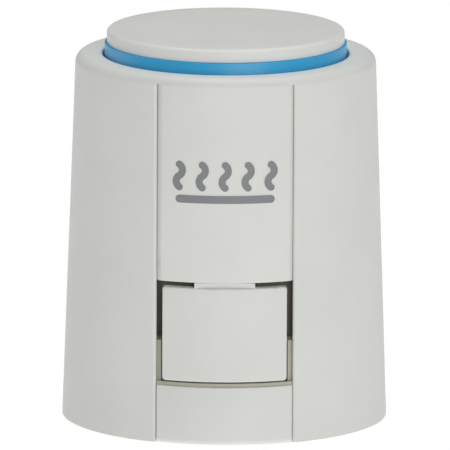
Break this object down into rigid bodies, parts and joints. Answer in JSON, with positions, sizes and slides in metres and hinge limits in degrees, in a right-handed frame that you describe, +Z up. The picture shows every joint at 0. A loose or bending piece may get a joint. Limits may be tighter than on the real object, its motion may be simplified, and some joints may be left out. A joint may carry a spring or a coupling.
{
  "type": "valve actuator head",
  "caption": "Round plug-on thermal actuator head for a small heating valve, with a rising round display on top, a release button at the front and a cable inlet at the back.",
  "frame": {"origin": "on the valve axis, in the plane of the base ring's lower face, where the head meets the valve", "axes": "+Z up along the valve axis to the display; -Y is the front with the release button; +Y is the back with the cable inlet"},
  "size_m": [0.0443, 0.0483, 0.0534],
  "materials": {
    "casing_white": "fine satin, off-white",
    "print_grey": "printed grey",
    "display_blue": "satin blue",
    "natural_plastic": "natural cream, semi-matte",
    "dark_plastic": "matte black",
    "rubber": "matte black",
    "steel": "zinc plated",
    "spring_steel": "drawn wire",
    "brass": "turned",
    "tinned_brass": "tinned",
    "heater_ceramic": "silvered ceramic pill"
  },
  "bodies": {
    "housing": {"housing_shell": "casing_white", "front_panel": "casing_white", "foot_panel": "casing_white", "panel_icon": "print_grey", "button_pivot_pin": "steel", "base_ring": "natural_plastic", "base_gasket": "rubber", "latch_spring": "spring_steel", "chassis": "natural_plastic", "thrust_plate": "steel", "thrust_screws": "steel", "wax_capsule": "brass", "piston_guide": "brass", "capsule_collar": "dark_plastic", "ptc_heater": "heater_ceramic", "tappet_seal": "rubber", "closing_spring": "spring_steel", "display_seal": "rubber", "cable_socket": "dark_plastic", "socket_pins": "tinned_brass", "line_contact": "tinned_brass", "neutral_contact": "tinned_brass"},
    "lift": {"lift_frame": "natural_plastic", "crosshead": "natural_plastic", "crosshead_screws": "steel", "tappet": "natural_plastic", "tappet_pad": "steel", "wax_piston": "steel", "display_ring": "display_blue", "display_screw": "steel", "display_cap": "casing_white"},
    "button": {"release_button": "casing_white"},
    "latch": {"latch_slide": "natural_plastic"}
  },
  "joints": [
    {"name": "display_lift", "type": "slide", "parent": "housing", "child": "lift", "axis": [0, 0, 1], "range_m": [-0.004, 0], "deforming": ["closing_spring"]},
    {"name": "button_tilt", "type": "hinge", "parent": "housing", "child": "button", "pos_m": [0, -0.0176, 0.0229], "axis": [1, 0, 0], "range_deg": [0, 4.5]},
    {"name": "latch_travel", "type": "slide", "parent": "housing", "child": "latch", "axis": [0, 1, 0], "range_m": [0, 0.00109], "stiffness_N_per_m": 1700, "springref_m": -0.0005, "deforming": ["latch_spring"]}
  ],
  "couplings": [
    {"joint": "button_tilt", "follows": "latch_travel", "rad_per_m": 71.685}
  ]
}
